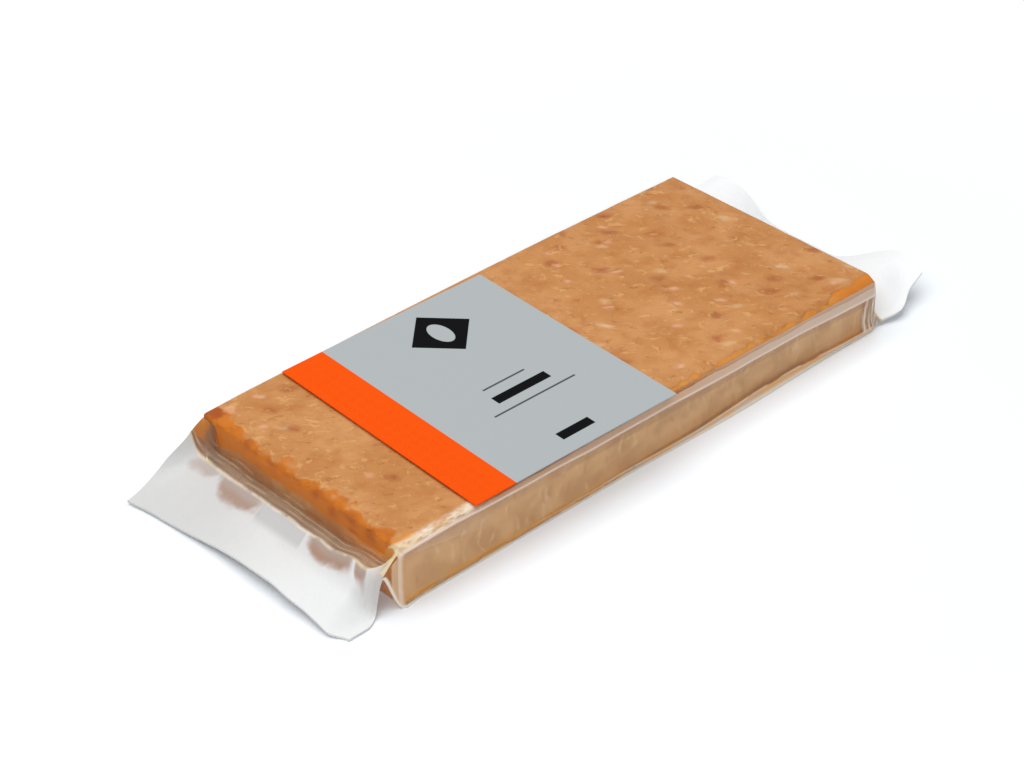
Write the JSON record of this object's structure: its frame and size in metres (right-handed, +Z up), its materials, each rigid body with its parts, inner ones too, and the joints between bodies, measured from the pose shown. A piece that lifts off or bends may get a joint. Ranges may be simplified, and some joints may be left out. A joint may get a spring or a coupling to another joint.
{
  "type": "nougat bar in a sealed clear film bag",
  "caption": "Flat bar of soft coffee nougat, vacuum-sealed in clear film with a tail of film at each end and a plain paper label across the top.",
  "frame": {"origin": "centre of the bar's underside, on the surface the pack rests on; the tails are nearly equal, so it is within 1 mm of the centre of the whole pack's footprint", "axes": "+Z up, +X along the bar from the label's end to the bare end, +Y across the bar"},
  "size_m": [0.2114, 0.0767, 0.0183],
  "materials": {
    "nougat_in_film": "soft nougat seen through clear film",
    "label_paper": "matte card"
  },
  "bodies": {
    "root": {"sealed_bag": "nougat_in_film", "label": "label_paper"}
  },
  "joints": []
}
